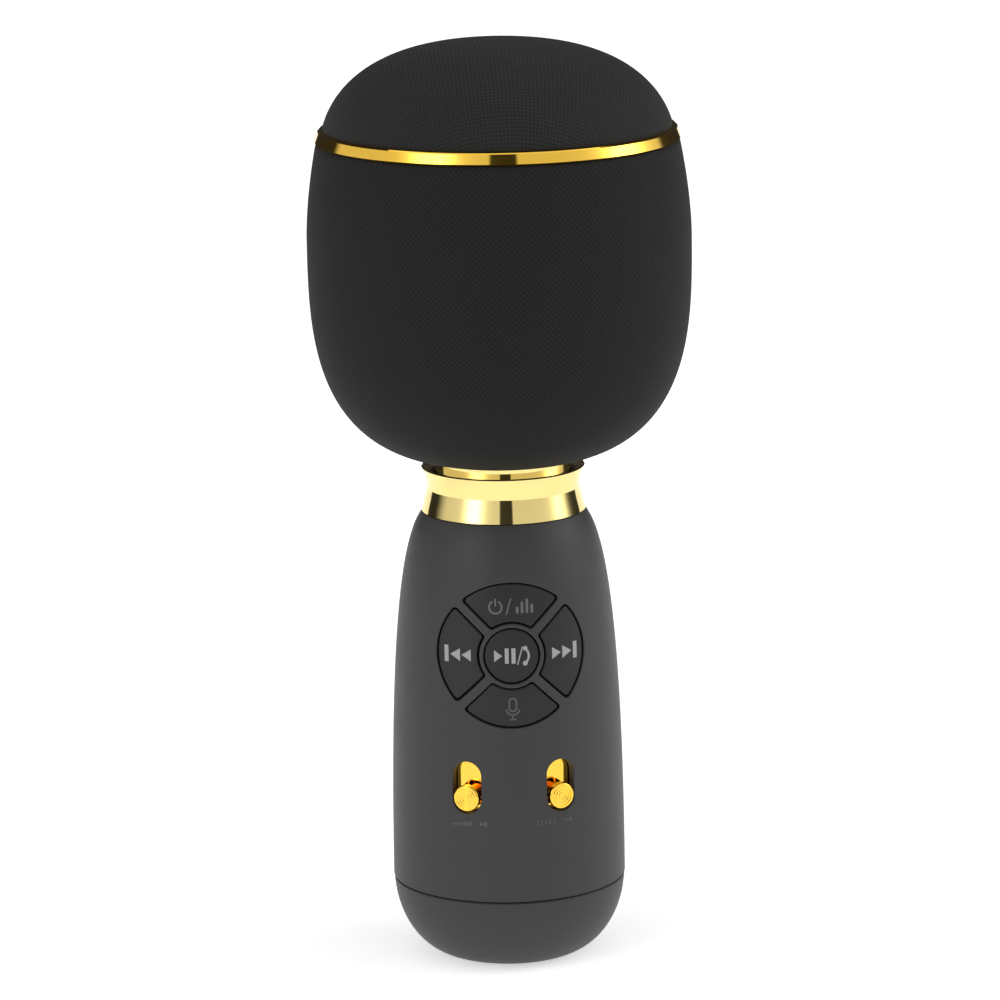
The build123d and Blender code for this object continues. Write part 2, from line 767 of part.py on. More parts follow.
def grille_basket():
    """The slotted plastic body of the head, with a floor, a ledge and a rim."""
    outer_hem = basket_lower_outside.z_at(fabric_hem_radius)
    outer = basket_lower_outside.curve(outer_hem, head_level)
    outer_high = basket_upper_outside.curve(head_level, ring_bottom)
    inner_high = basket_upper_inside.curve(head_level, ring_bottom)
    inner = basket_lower_inside.curve(basket_floor_top, head_level)
    bore = neck_radius + running_gap
    basket = lathe(
        outer, outer_high, corners(outer_high @ 1, inner_high @ 1), inner_high, inner,
        corners(inner @ 0, (bore, basket_floor_top), (bore, outer_hem), outer @ 0),
    )
    deep = basket_lower_inside.radius_at(ledge_low) + 0.6
    basket += ring(deep, ledge_inner, ledge_low, ledge_top)
    rim_low = ring_bottom - basket_rim_thickness
    basket += ring(basket_upper_inside.radius_at(ring_bottom) + 0.5, ring_bore, rim_low, ring_bottom)
    rows = ((basket_floor_top + 6, ledge_low - 2), (ledge_top + 5, head_level + 12))
    for low, high in rows:
        slot = block(head_radius - 14, head_radius + 2, -2.25, 2.25, low, high)
        for cut in around(slot, 30):
            basket -= cut
    for x, y in around_points(3, neck_screw_circle, 30):
        basket -= disc(screw_radius + thread_gap, outer_hem, basket_floor_top + 1, x, y)
    for x, y in around_points(4, baffle_screw_circle, 45):
        basket -= disc(screw_radius + thread_gap, ledge_low - 1, ledge_top + 1, x, y)
    return basket - disc(wire_radius + 0.6, ledge_low - 1, ledge_top + 1, *capsule_wire_place())


def trim_ring():
    foot, head = ring_bottom_radius, ring_top_radius
    return turned(
        (ring_bore, ring_bottom), (foot - 0.25, ring_bottom), (foot, ring_bottom + 0.25),
        (head + 0.1, ring_top - 0.25), (head - 0.2, ring_top), (ring_bore, ring_top),
    )


def cap_shell(outside, inside, z_low):
    outer = outside.curve(z_low, outside.level + outside.reach)
    inner = inside.curve(z_low, inside.level + inside.reach)
    return lathe(outer, corners(outer @ 1, inner @ 1), inner, corners(inner @ 0, outer @ 0))


def dome_grille():
    """The slotted dome, with a skirt that drops through the ring into the basket."""
    dome = cap_shell(dome_grille_outside, dome_grille_inside, ring_top)
    skirt_bottom = ring_bottom - basket_rim_thickness - 2.5
    inner_rim = dome_grille_inside.radius_at(ring_top)
    dome += ring(inner_rim + 0.4, skirt_radius - skirt_wall, ring_top, ring_top + 1.4)
    dome += ring(skirt_radius, skirt_radius - skirt_wall, skirt_bottom, ring_top + 0.5)
    for catch in around(block(skirt_radius - 0.5, skirt_radius + 0.7, -4, 4, skirt_bottom,
                              ring_bottom - basket_rim_thickness - 0.1), 3):
        dome += catch
    slot = block(9, skirt_radius - skirt_wall - 3, -1.5, 1.5, ring_top + 4, ring_top + dome_reach)
    for cut in around(slot, 18):
        dome -= cut
    return dome


def windscreen_foam():
    outer = dome_grille_inside.inset(0.2)
    return cap_shell(outer, outer.inset(foam_thickness), ring_top + 2.0)


# ---- baffle, loudspeaker, capsule ----
baffle_radius = basket_lower_inside.radius_at(baffle_z) - assembly_gap
enclosure_radius = ledge_inner - running_gap
speaker_radius = enclosure_radius - enclosure_wall - 0.8
cone_radius = speaker_radius - flange_width - surround_width + 0.5
lug_radius = speaker_radius - flange_width / 2
flange_top = baffle_z - gasket_thickness
flange_bottom = flange_top - flange_thickness
speaker_bottom = flange_top - speaker_depth
yoke_top = speaker_bottom + magnet_plate_thickness
magnet_top = yoke_top + magnet_thickness
top_plate_top = magnet_top + magnet_plate_thickness
cone_neck_z = top_plate_top + 4.5
coil_outer = coil_radius + coil_wall / 2
coil_inner = coil_radius - coil_wall / 2


def baffle_plate():
    plate = ring(baffle_radius, speaker_radius - flange_width + 0.5, baffle_z, baffle_z + baffle_thickness)
    for x, y in around_points(4, baffle_screw_circle, 45):
        plate -= disc(screw_radius + running_gap, baffle_z - 1, baffle_z + baffle_thickness + 1, x, y)
    for x, y in around_points(4, speaker_screw_circle, 0):
        plate -= disc(screw_radius + thread_gap, baffle_z - 1, baffle_z + baffle_thickness + 1, x, y)
    notch_x, notch_y = capsule_wire_place()
    return plate - disc(wire_radius + 0.6, baffle_z - 1, baffle_z + baffle_thickness + 1, notch_x, notch_y)


speaker_screw_circle = speaker_radius - screw_head_radius - 0.2


def speaker_gasket():
    sheet = ring(speaker_radius, speaker_radius - flange_width + 0.5, flange_top, baffle_z)
    for x, y in around_points(4, speaker_screw_circle, 0):
        sheet -= disc(screw_radius + running_gap, flange_top - 1, baffle_z + 1, x, y)
    return sheet


def speaker_frame():
    """The driver's pressed frame: a rim, four arms and a seat for the top plate."""
    seat = magnet_radius - 1.5
    rim_in = speaker_radius - flange_width
    wall = 1.0
    frame = turned(
        (speaker_radius, flange_top), (rim_in, flange_top), (rim_in, flange_bottom - 0.5),
        (seat + 1.5, top_plate_top + wall), (coil_outer + 3.0, top_plate_top + wall),
        (coil_outer + 3.0, top_plate_top), (seat + 2.0, top_plate_top),
        (rim_in + wall, flange_bottom - 1.0), (rim_in + wall, flange_bottom),
        (speaker_radius, flange_bottom),
    )
    window = block(seat + 2.5, rim_in - 0.5, -6, 6, top_plate_top - 1, flange_bottom - 2.5)
    for cut in around(window, 4, 0):
        frame -= cut
    for x, y in around_points(4, speaker_screw_circle, 0):
        frame -= disc(screw_radius + running_gap, flange_bottom - 1, flange_top + 1, x, y)
    lug = block(-3.2, 3.2, -lug_radius - 1.2, -lug_radius + 1.8, flange_bottom - 3.0, flange_bottom + 0.5)
    return frame + Rot(0, 0, 45) * lug


def speaker_yoke():
    pole = coil_inner - running_gap
    return disc(magnet_radius - 0.5, speaker_bottom, yoke_top) + disc(pole, yoke_top, top_plate_top)


def speaker_magnet():
    return ring(magnet_radius, coil_outer + 3.0, yoke_top, magnet_top)


def speaker_top_plate():
    return ring(magnet_radius - 0.5, coil_outer + running_gap, magnet_top, top_plate_top)


def voice_coil():
    return ring(coil_outer, coil_inner, yoke_top + cone_travel + 0.8, cone_neck_z)


def speaker_cone():
    rise = flange_top - 1.0
    return turned(
        (coil_outer, cone_neck_z - 1.2), (coil_outer, cone_neck_z - 0.2),
        (cone_radius, rise), (cone_radius, rise - cone_thickness - 0.3),
        (coil_outer + 0.6, cone_neck_z - 1.2),
    )


def dust_cap():
    rim = coil_radius + 3.2
    slope = (flange_top - 0.8 - cone_neck_z) / (cone_radius - coil_outer)
    foot = cone_neck_z - 0.15 + slope * (rim - coil_outer)
    dome = Bulge(rim, 2.8, 2, 2, foot)
    return cap_shell(dome, dome.inset(0.5), foot)


def surround():
    """The half-roll rubber edge between the cone and the frame's rim."""
    start, end = cone_radius + 0.02, speaker_radius - flange_width - 0.02
    low = flange_top - 1.6
    middle, rise = (start + end) / 2, (end - start) / 2 - 0.6
    outer = ThreePointArc((start + 0.6, 0, low + 0.6), (middle, 0, low + 0.6 + rise),
                          (end - 0.6, 0, low + 0.6))
    inner = ThreePointArc((end - 1.1, 0, low), (middle, 0, low + rise - 0.1), (start + 1.1, 0, low))
    return lathe(
        outer, corners((end - 0.6, low + 0.6), (end, low + 0.6), (end, low), (end - 1.1, low)),
        inner, corners((start + 1.1, low), (start, low), (start, low + 0.6), (start + 0.6, low + 0.6)),
    )


def spider():
    """The corrugated disc that centres the voice coil."""
    start, end = coil_outer + 0.02, magnet_radius - 0.4
    low, thickness, waves = top_plate_top + 1.2 + 0.9, 0.4, 4
    pitch = (end - start - 1.6) / waves
    top, bottom = [(start, low + thickness)], [(start, low)]
    for wave in range(waves):
        left = start + 0.8 + wave * pitch
        lift = 0.5 if wave % 2 == 0 else -0.3
        top += [(left, low + thickness), (left + pitch / 2, low + thickness + lift)]
        bottom += [(left, low), (left + pitch / 2, low + lift)]
    top += [(end - 0.8, low + thickness), (end, low + thickness)]
    bottom += [(end - 0.8, low), (end, low)]
    return turned(*top, *reversed(bottom))


def speaker_enclosure():
    """The closed tub behind the driver, glued under the baffle."""
    wall, outer = enclosure_wall, enclosure_radius
    narrow = outer - 10.0
    low, step = tub_low, tub_step
    tub = turned(
        (0, low), (narrow, low), (outer, step), (outer, baffle_z), (outer - wall, baffle_z),
        (outer - wall, step + 1), (narrow - 1, low + wall), (0, low + wall),
    )
    middle = sum(wire_spread) / 2
    return tub - disc(3.6, low - 1, low + wall + 1, middle, neck_wire_y - 0.6)


holder_floor = ring_top - 6.7
cup_outer = capsule_radius + 3.2


def capsule_holder():
    """A four-legged bridge on the baffle that carries the microphone capsule."""
    floor, top = baffle_z + baffle_thickness, holder_floor + 11.0
    foot = baffle_screw_circle
    skirt_inner = skirt_radius - skirt_wall - 1.5
    leg = make_face(
        Polyline(
            (foot + 1.8, 0, floor), (foot + 1.8, 0, floor + 2), (foot - 1.0, 0, floor + 2),
            (skirt_inner, 0, ring_bottom - 9), (skirt_inner - 3, 0, ring_bottom - 5),
            (cup_outer - 0.5, 0, holder_floor + 3), (cup_outer - 0.5, 0, holder_floor),
            (skirt_inner - 5, 0, ring_bottom - 10), (foot - 5, 0, floor + 2),
            (foot - 5, 0, floor), (foot + 1.8, 0, floor),
        )
    )
    leg = extrude(leg, 2.5, both=True)
    leg -= disc(screw_radius + running_gap, floor - 1, floor + 4, foot, 0)
    clear = disc(screw_head_radius + 0.5, floor + 2, floor + 6, foot, 0)
    leg -= clear
    cup = ring(cup_outer, capsule_radius + 1.6, holder_floor, top)
    cup += ring(cup_outer, 3.0, holder_floor, holder_floor + 1.5)
    for turned_leg in around(leg, holder_legs, 45):
        cup += turned_leg
    return cup - disc(capsule_radius + 1.6, holder_floor + 1.5, top + 1)


def capsule_grommet():
    floor = holder_floor + 1.5
    grommet = ring(capsule_radius + 1.55, capsule_radius + 0.02, floor, floor + 10.5)
    return grommet + ring(capsule_radius + 2.6, capsule_radius + 0.02, floor + 9.55, floor + 10.5)


def mic_capsule():
    floor = holder_floor + 1.5
    body = disc(capsule_radius, floor, floor + capsule_length)
    body = fillet(body.edges().group_by(Axis.Z)[-1], 0.8)
    for x, y in around_points(6, 4.6):
        body -= disc(0.9, floor + capsule_length - 1.0, floor + capsule_length + 1, x, y)
    return body - disc(0.9, floor + capsule_length - 1.0, floor + capsule_length + 1)


# ---- wires and straps that the housings hold all the way ----
capsule_wire_out = enclosure_radius + 2.0
tub_low = neck_top + 2.5
tub_step = neck_top + 19.0


def wire(*points):
    path = FilletPolyline(*points, radius=[wire_bend] * (len(points) - 2))
    section = Plane(origin=path @ 0, z_dir=path % 0) * Circle(wire_radius)
    return sweep(section, path)


def lug_point(x, radius, z):
    """A point at that radius, towards the driver's terminal lug."""
    found = Vector(x, -radius, z).rotate(Axis.Z, 45)
    return found.X, found.Y, found.Z


def speaker_leads():
    """Two wires from the board's socket, up the neck and through the tub to the driver."""
    level = tub_low + enclosure_wall + 1.6
    wires = []
    for x in wire_spread:
        wires.append(wire(
            (x, neck_wire_y, board_high), (x, neck_wire_y, level),
            lug_point(x, magnet_radius + 6.0, level), lug_point(x, lug_radius, tub_step + 1.0),
            lug_point(x, lug_radius, flange_bottom - 3.0),
        ))
    return wires


def capsule_wire_place():
    """Where the capsule's lead rises beside the tub, through the ledge and the baffle."""
    return -sqrt(capsule_wire_out**2 - neck_wire_y**2), neck_wire_y


def capsule_lead():
    """A lead from the board's socket, up the neck and outside the tub to the capsule."""
    out_x, out_y = capsule_wire_place()
    level = neck_top + 1.25
    return wire(
        (capsule_wire_x, neck_wire_y, board_high), (capsule_wire_x, neck_wire_y, level),
        (out_x + 12.5, out_y, level), (out_x, out_y, tub_step),
        (out_x, out_y, baffle_z + 10.0), (-1.5, -1.0, holder_floor - 8.0),
        (-1.5, -1.0, holder_floor + 1.5),
    )


def battery_straps():
    """Nickel straps from the cell's two ends to the board below it."""
    top, board_top = cell_top + 0.6, port_board_z + port_board_thickness
    reach = cell_y + cradle_radius + 0.9
    over = block(-2.0, 2.0, cell_y - 2.5, reach + 0.3, top, top + 0.3)
    down = block(-2.0, 2.0, reach, reach + 0.3, board_top, top + 0.3)
    return [over + down, block(-2.0, 2.0, cell_y - 0.15, cell_y + 0.15, board_top, cell_bottom)]


def head_screws():
    """The screws of the neck flange, of the baffle with the holder's feet, and of the driver."""
    foot_top = baffle_z + baffle_thickness + 2.0
    screws = []
    for x, y in around_points(3, neck_screw_circle, 30):
        screws.append(screw(x, y, neck_top, neck_screw_length))
    for x, y in around_points(4, baffle_screw_circle, 45):
        screws.append(screw(x, y, foot_top, baffle_screw_length))
    for x, y in around_points(4, speaker_screw_circle, 0):
        screws.append(screw(x, y, flange_bottom, speaker_screw_length, up=False))
    return screws


def main():
    os.makedirs("parts", exist_ok=True)
    save("bottom_cap", bottom_cap())
    save("base_pad", base_pad())
    save("cap_screws", *cap_screws())
    save("handle_shell", handle_shell())
    for name in key_names:
        save(f"key_{name}", key(name))
        save(f"plunger_{name}", plunger(name))
    save("tact_switches", *tact_switches())
    save("key_guide", key_guide())
    save("main_board", main_board())
    save("board_components", *board_components())
    save("board_screws", *[small_screw(x, z) for x, z in board_screw_places])
    save("inner_chassis", inner_chassis())
    save("port_board", port_board())
    save("aux_jack", aux_jack())
    save("charge_port", charge_port())
    save("battery_cell", battery_cell())
    save("battery_foam", *battery_foam())
    save("battery_straps", *battery_straps())
    for side, word in ((-1, "left"), (1, "right")):
        save(f"slider_knob_{word}", slider_place(side) * slider_knob())
        save(f"pot_lever_{word}", slider_place(side) * pot_lever())
    save("slide_pots", *[slider_place(side) * slide_pot() for side in (-1, 1)])
    save("slider_boards", *[slider_place(side) * slider_board() for side in (-1, 1)])
    save("neck_tube", neck_tube())
    save("neck_nut", neck_nut())
    save("neck_collar", neck_collar())
    save("collar_gasket", collar_gasket())
    save("grille_basket", grille_basket())
    save("body_fabric", body_fabric())
    save("trim_ring", trim_ring())
    save("dome_grille", dome_grille())
    save("dome_fabric", cap_shell(dome_outside, dome_outside.inset(fabric_thickness), ring_top))
    save("windscreen_foam", windscreen_foam())
    save("baffle_plate", baffle_plate())
    save("speaker_gasket", speaker_gasket())
    save("speaker_frame", speaker_frame())
    save("speaker_yoke", speaker_yoke())
    save("speaker_magnet", speaker_magnet())
    save("speaker_top_plate", speaker_top_plate())
    save("voice_coil", voice_coil())
    save("speaker_cone", speaker_cone())
    save("dust_cap", dust_cap())
    save("surround", surround())
    save("spider", spider())
    save("speaker_enclosure", speaker_enclosure())
    save("capsule_holder", capsule_holder())
    save("capsule_grommet", capsule_grommet())
    save("mic_capsule", mic_capsule())
    save("speaker_leads", *speaker_leads())
    save("capsule_lead", capsule_lead())
    save("head_screws", *head_screws())


main()
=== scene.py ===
import json
import math
import bpy
import numpy as np
from mathutils import Matrix, Vector
from mathutils.bvhtree import BVHTree
from mathutils.geometry import delaunay_2d_cdt


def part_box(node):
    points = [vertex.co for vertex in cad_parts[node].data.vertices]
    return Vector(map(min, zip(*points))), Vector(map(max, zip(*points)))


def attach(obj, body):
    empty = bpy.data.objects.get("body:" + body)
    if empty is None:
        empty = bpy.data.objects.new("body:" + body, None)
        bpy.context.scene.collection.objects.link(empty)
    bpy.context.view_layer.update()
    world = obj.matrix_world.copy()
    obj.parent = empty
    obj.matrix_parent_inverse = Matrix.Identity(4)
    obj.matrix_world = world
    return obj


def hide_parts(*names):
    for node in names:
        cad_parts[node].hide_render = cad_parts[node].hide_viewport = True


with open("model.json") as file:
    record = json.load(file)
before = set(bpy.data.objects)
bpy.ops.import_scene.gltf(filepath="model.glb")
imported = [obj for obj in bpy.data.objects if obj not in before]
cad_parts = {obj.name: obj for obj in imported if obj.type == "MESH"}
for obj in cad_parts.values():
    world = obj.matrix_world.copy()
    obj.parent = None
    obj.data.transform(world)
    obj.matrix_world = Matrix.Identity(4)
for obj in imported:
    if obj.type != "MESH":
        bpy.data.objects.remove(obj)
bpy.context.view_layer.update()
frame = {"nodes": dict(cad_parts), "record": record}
nodes = frame["nodes"]
millimetre = 0.001
print("frame loaded:", len(nodes), "nodes")


# sockets and nodes
class Signal:
    # an output socket that takes part in plain arithmetic
    def __init__(self, tree, socket):
        self.tree, self.socket = tree, socket

    def maths(self, operation, *values):
        made = self.tree.nodes.new("ShaderNodeMath")
        made.operation = operation
        for index, value in enumerate(values):
            plug(self.tree, made.inputs[index], value)
        return Signal(self.tree, made.outputs[0])

    def __add__(self, other):
        return self.maths("ADD", self, other)

    def __radd__(self, other):
        return self.maths("ADD", other, self)

    def __sub__(self, other):
        return self.maths("SUBTRACT", self, other)

    def __rsub__(self, other):
        return self.maths("SUBTRACT", other, self)

    def __mul__(self, other):
        return self.maths("MULTIPLY", self, other)

    def __rmul__(self, other):
        return self.maths("MULTIPLY", other, self)

    def __truediv__(self, other):
        return self.maths("DIVIDE", self, other)

    def __rtruediv__(self, other):
        return self.maths("DIVIDE", other, self)

    def __pow__(self, other):
        return self.maths("POWER", self, other)

    def __abs__(self):
        return self.maths("ABSOLUTE", self)

    def cosine(self):
        return self.maths("COSINE", self)

    def larger(self, other):
        return self.maths("MAXIMUM", self, other)


def plug(tree, socket, value):
    if isinstance(value, Signal):
        tree.links.new(value.socket, socket)
    else:
        socket.default_value = value


class Board:
    # a node tree, and the one way to put any other node on it
    def __init__(self, owner):
        owner.use_nodes = True
        self.tree = owner.node_tree
        self.tree.nodes.clear()

    def node(self, kind, settings=None, inputs=None, output=0):
        made = self.tree.nodes.new("ShaderNode" + kind)
        for name, value in (settings or {}).items():
            setattr(made, name, value)
        for name, value in (inputs or {}).items():
            plug(self.tree, made.inputs[name], value)
        return Signal(self.tree, made.outputs[output]) if made.outputs else None

    def blend(self, share, first, second):
        # a colour between two colours
        settings = {"data_type": "RGBA", "clamp_factor": True}
        return self.node("Mix", settings, {0: share, 6: first, 7: second}, 2)

    def speckle(self, size, detail=2.0, roughness=0.5):
        # cloudy noise fixed to the piece, with its size in millimetres
        place = self.node("TexCoord", None, None, "Object")
        inputs = {"Vector": place, "Scale": 1 / (size * millimetre), "Detail": detail, "Roughness": roughness}
        return self.node("TexNoise", None, inputs)


def tint(red, green, blue):
    return (red, green, blue, 1.0)


def shade(level, warmth=0.0):
    return tint(level * (1 + warmth), level, level * (1 - warmth))


# the view
view = {
    "lens": 183.6, "sensor": 36.0, "distance": 1.205, "elevation": 12.4, "azimuth": -3.0,
    "roll": -0.95, "sideStep": -0.83, "height": 109.84,
}


def setCamera():
    camera = bpy.data.cameras.new("studioCamera")
    camera.lens, camera.sensor_width = view["lens"], view["sensor"]
    camera.clip_start, camera.clip_end = 0.05, 60.0
    holder = bpy.data.objects.new("studioCamera", camera)
    bpy.context.scene.collection.objects.link(holder)
    turn, rise = math.radians(view["azimuth"]), math.radians(view["elevation"])
    back = Vector((math.sin(turn) * math.cos(rise), -math.cos(turn) * math.cos(rise), math.sin(rise)))
    target = Vector((view["sideStep"], 0, view["height"])) * millimetre
    aim = (-back).to_track_quat("-Z", "Y").to_matrix().to_4x4()
    lean = Matrix.Rotation(math.radians(view["roll"]), 4, "Z")
    holder.matrix_world = Matrix.Translation(target + back * view["distance"]) @ aim @ lean
    bpy.context.scene.camera = holder


setCamera()
print("camera placed")

# the studio
studio = {
    "ambient": 0.03, "glow": 0.72, "leftGlow": (-130, -122, -10, -7.5), "rightGlow": (8.5, 11, 118, 126),
    "band": (3, 8, 52, 68), "spots": ((-48, 12, 3.6), (88, 13, 4.2)), "spotLevel": 25, "spotHeight": 14,
    "overhead": 0.9, "overheadSize": 2.4, "overheadHeight": 2.2, "floorGlow": 0.52, "floorSize": 9.0,
}


def setWorld():
    world = bpy.data.worlds.new("studioLight")
    bpy.context.scene.world = world
    board = Board(world)
    heading = board.node("TexCoord", None, None, "Generated")
    parts = board.node("SeparateXYZ", None, {0: heading})
    across, along, up = [Signal(board.tree, parts.socket.node.outputs[axis]) for axis in range(3)]
    turn = across.maths("ARCTAN2", across, 0 - along) * math.degrees(1)
    rise = up.maths("ARCSINE", up) * math.degrees(1)

    def step(value, low, high):
        inputs = {0: value, 1: low, 2: high, 3: 0.0, 4: 1.0}
        return board.node("MapRange", {"interpolation_type": "SMOOTHSTEP"}, inputs)

    def between(value, edges):
        return step(value, edges[0], edges[1]) * (1 - step(value, edges[2], edges[3]))

    def hump(value, middle, width):
        far = (value - middle) / width
        return 1 / (1 + (far * far) ** 2.0)

    glow = (between(turn, studio["leftGlow"]) + between(turn, studio["rightGlow"])) * studio["glow"]
    light = glow * between(rise, studio["band"]) + studio["ambient"]
    for middle, width, power in studio["spots"]:
        level = hump(rise, studio["spotLevel"], studio["spotHeight"])
        light = light + hump(turn, middle, width) * level * power
    seen = board.node("LightPath", None, None, "Is Camera Ray")
    strength = light * (1 - seen) + seen
    surface = board.node("Background", None, {"Color": tint(1, 1, 1), "Strength": strength})
    board.node("OutputWorld", None, {"Surface": surface})


def setFloor():
    half = studio["floorSize"] / 2
    mesh = bpy.data.meshes.new("studioFloor")
    corners = [(-half, -half, 0), (half, -half, 0), (half, half, 0), (-half, half, 0)]
    mesh.from_pydata(corners, [], [(0, 1, 2, 3)])
    floor = bpy.data.objects.new("studioFloor", mesh)
    bpy.context.scene.collection.objects.link(floor)
    material = bpy.data.materials.new("paleFloor")
    board = Board(material)
    surface = board.node("BsdfPrincipled", None, {
        "Base Color": shade(0.86), "Roughness": 0.9, "Specular IOR Level": 0.1,
        "Emission Color": shade(1.0), "Emission Strength": studio["floorGlow"],
    })
    board.node("OutputMaterial", None, {"Surface": surface})
    mesh.materials.append(material)


def setOverhead():
    lamp = bpy.data.lights.new("overheadSoftbox", "AREA")
    lamp.shape, lamp.size = "SQUARE", studio["overheadSize"]
    lamp.energy = studio["overhead"] * math.pi * studio["overheadSize"] ** 2
    holder = bpy.data.objects.new("overheadSoftbox", lamp)
    holder.location = (0, 0, studio["overheadHeight"])
    holder.visible_camera = False
    bpy.context.scene.collection.objects.link(holder)


bpy.context.scene.view_settings.view_transform = "Standard"
bpy.context.scene.view_settings.look = "None"
setWorld()
setFloor()
setOverhead()
print("studio lit")


# the finishes
cloudSize = {"plastic": 9, "gold": 6, "cloth": 7}
mouldedGloss = 0.32
moulded = {
    # colour, roughness, grain size in mm, grain depth in mm, metallic, mottling
    "soft_touch": (shade(0.033, 0.01), 0.5, 0.16, 0.012, 0.0, 0.10),
    "key_plastic": (shade(0.014, 0.01), 0.46, 0.12, 0.006, 0.0, 0.10),
    "grille_plastic": (shade(0.012), 0.55, 0.4, 0.02, 0.0, 0.1),
    "inner_plastic": (shade(0.02), 0.4, 0.3, 0.01, 0.0, 0.1),
    "switch_plunger": (shade(0.3, 0.03), 0.45, 0.3, 0.01, 0.0, 0.1),
    "rubber": (shade(0.022), 0.72, 0.35, 0.03, 0.0, 0.2),
    "foam": (shade(0.02), 0.95, 0.6, 0.2, 0.0, 0.5),
    "circuit_board": (tint(0.012, 0.10, 0.04), 0.35, 0.8, 0.01, 0.0, 0.25),
    "steel": (shade(0.56), 0.28, 0.3, 0.004, 1.0, 0.1),
    "ferrite": (shade(0.075), 0.6, 0.5, 0.02, 0.3, 0.25),
    "cone_paper": (shade(0.03), 0.85, 0.5, 0.05, 0.0, 0.35),
    "copper": (tint(0.72, 0.30, 0.16), 0.3, 0.25, 0.02, 1.0, 0.1),
    "capsule_metal": (shade(0.5), 0.3, 0.3, 0.004, 1.0, 0.1),
    "cell_wrap": (tint(0.03, 0.14, 0.32), 0.3, 0.9, 0.006, 0.0, 0.1),
    "wire_sleeve": (shade(0.03), 0.5, 0.4, 0.01, 0.0, 0.1),
}
gold = {
    "collar": (tint(0.89, 0.71, 0.26), tint(0.93, 0.76, 0.32)),
    "trim": (tint(0.93, 0.55, 0.05), tint(0.98, 0.64, 0.11)),
    "roughness": 0.03, "smudge": 0.04, "waves": 9.0, "waveDepth": 0.02,
}


def finishMoulded(name):
    colour, roughness, grain, depth, metallic, mottling = moulded[name]
    material = bpy.data.materials.new(name)
    board = Board(material)
    cloud = board.speckle(cloudSize["plastic"], 3.0)
    grit = board.speckle(grain, 3.0, 0.6)
    darker = tint(*[channel * (1 - mottling) for channel in colour[:3]])
    lighter = tint(*[channel * (1 + mottling) for channel in colour[:3]])
    base = board.blend(cloud * 0.6 + grit * 0.4, darker, lighter)
    bump = board.node("Bump", None, {"Strength": 0.5, "Distance": depth * millimetre, "Height": grit})
    shader = board.node("BsdfPrincipled", None, {
        "Base Color": base, "Metallic": metallic, "Normal": bump, "Specular IOR Level": mouldedGloss,
        "Roughness": (cloud * 0.2 + 0.9) * roughness,
    })
    board.node("OutputMaterial", None, {"Surface": shader})
    return material


def finishGold(name, deep, pale):
    material = bpy.data.materials.new(name)
    board = Board(material)
    smear = board.speckle(cloudSize["gold"], 3.0)
    swell = board.speckle(gold["waves"], 1.0)
    bump = board.node("Bump", None, {
        "Strength": 0.35, "Distance": gold["waveDepth"] * millimetre, "Height": swell,
    })
    shader = board.node("BsdfPrincipled", None, {
        "Base Color": board.blend(smear, deep, pale), "Metallic": 1.0,
        "Roughness": smear * gold["smudge"] + gold["roughness"], "Normal": bump,
    })
    board.node("OutputMaterial", None, {"Surface": shader})
    return material


finishes = {name: finishMoulded(name) for name in moulded}
finishes["gold_trim"] = finishGold("gold_trim", *gold["trim"])
collarGold = finishGold("collarGold", *gold["collar"])

# the pit colour is painted shade for the hollows between yarns
weave = {
    "pitch": 0.95, "pit": shade(0.0025), "depth": 0.14, "roughness": 0.75, "fuzz": 0.22,
    "sheenRoughness": 0.5, "gloss": 0.18,
}


def finishCloth(name, crown, sheen):
    # the UV map counts yarns, so a yarn's middle lies at every whole number
    material = bpy.data.materials.new(name)
    board = Board(material)
    counted = board.node("UVMap", {"uv_map": "yarns"}, None, "UV")
    drift = board.node("TexNoise", None, {"Scale": 0.35, "Detail": 2.0, "Vector": counted}, "Color")
    wavy = board.node("VectorMath", {"operation": "MULTIPLY_ADD"}, {0: drift, 1: (0.5, 0.5, 0), 2: counted})
    parts = board.node("SeparateXYZ", None, {0: wavy})
    first = Signal(board.tree, parts.socket.node.outputs[0])
    second = Signal(board.tree, parts.socket.node.outputs[1])
    firstWave, secondWave = (first * math.pi).cosine(), (second * math.pi).cosine()
    over = firstWave * secondWave * 0.5 + 0.5
    height = (abs(secondWave) * over).larger(abs(firstWave) * (1 - over))
    fuzz = board.speckle(weave["fuzz"], 3.0, 0.65)
    cloud = board.speckle(cloudSize["cloth"], 2.0)
    # painted shade from weave height, darker into the pits between yarns, mixed with random tone from fuzz
    # and cloud
    level = height * 0.75 + fuzz * 0.35 + cloud * 0.12 - 0.12
    bump = board.node("Bump", None, {
        "Strength": 0.8, "Distance": weave["depth"] * millimetre, "Height": height + fuzz * 0.3,
    })
    shader = board.node("BsdfPrincipled", None, {
        "Base Color": board.blend(level, weave["pit"], crown), "Roughness": weave["roughness"],
        "Normal": bump, "Sheen Weight": sheen, "Sheen Roughness": weave["sheenRoughness"],
        "Specular IOR Level": weave["gloss"],
    })
    board.node("OutputMaterial", None, {"Surface": shader})
    return material


finishes["body_cloth"] = finishCloth("body_cloth", shade(0.016), 0.0)
finishes["dome_cloth"] = finishCloth("dome_cloth", shade(0.024), 0.03)

for row in frame["record"]["subparts"]:
    carried = nodes[row["node"]]
    if not carried.material_slots:
        carried.data.materials.append(None)
    for slot in carried.material_slots:
        slot.material = finishes[row["material_slot"]]
nodes["neck_collar"].material_slots[0].material = collarGold
print("finishes made:", len(finishes))


# meshes
def addPiece(name, points, faces, finish, body, smooth=True):
    mesh = bpy.data.meshes.new(name)
    mesh.from_pydata([tuple(point) for point in points], [], faces)
    mesh.validate()
    mesh.materials.append(finish)
    if smooth:
        mesh.shade_smooth()
    piece = bpy.data.objects.new(name, mesh)
    bpy.context.scene.collection.objects.link(piece)
    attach(piece, body)
    return piece


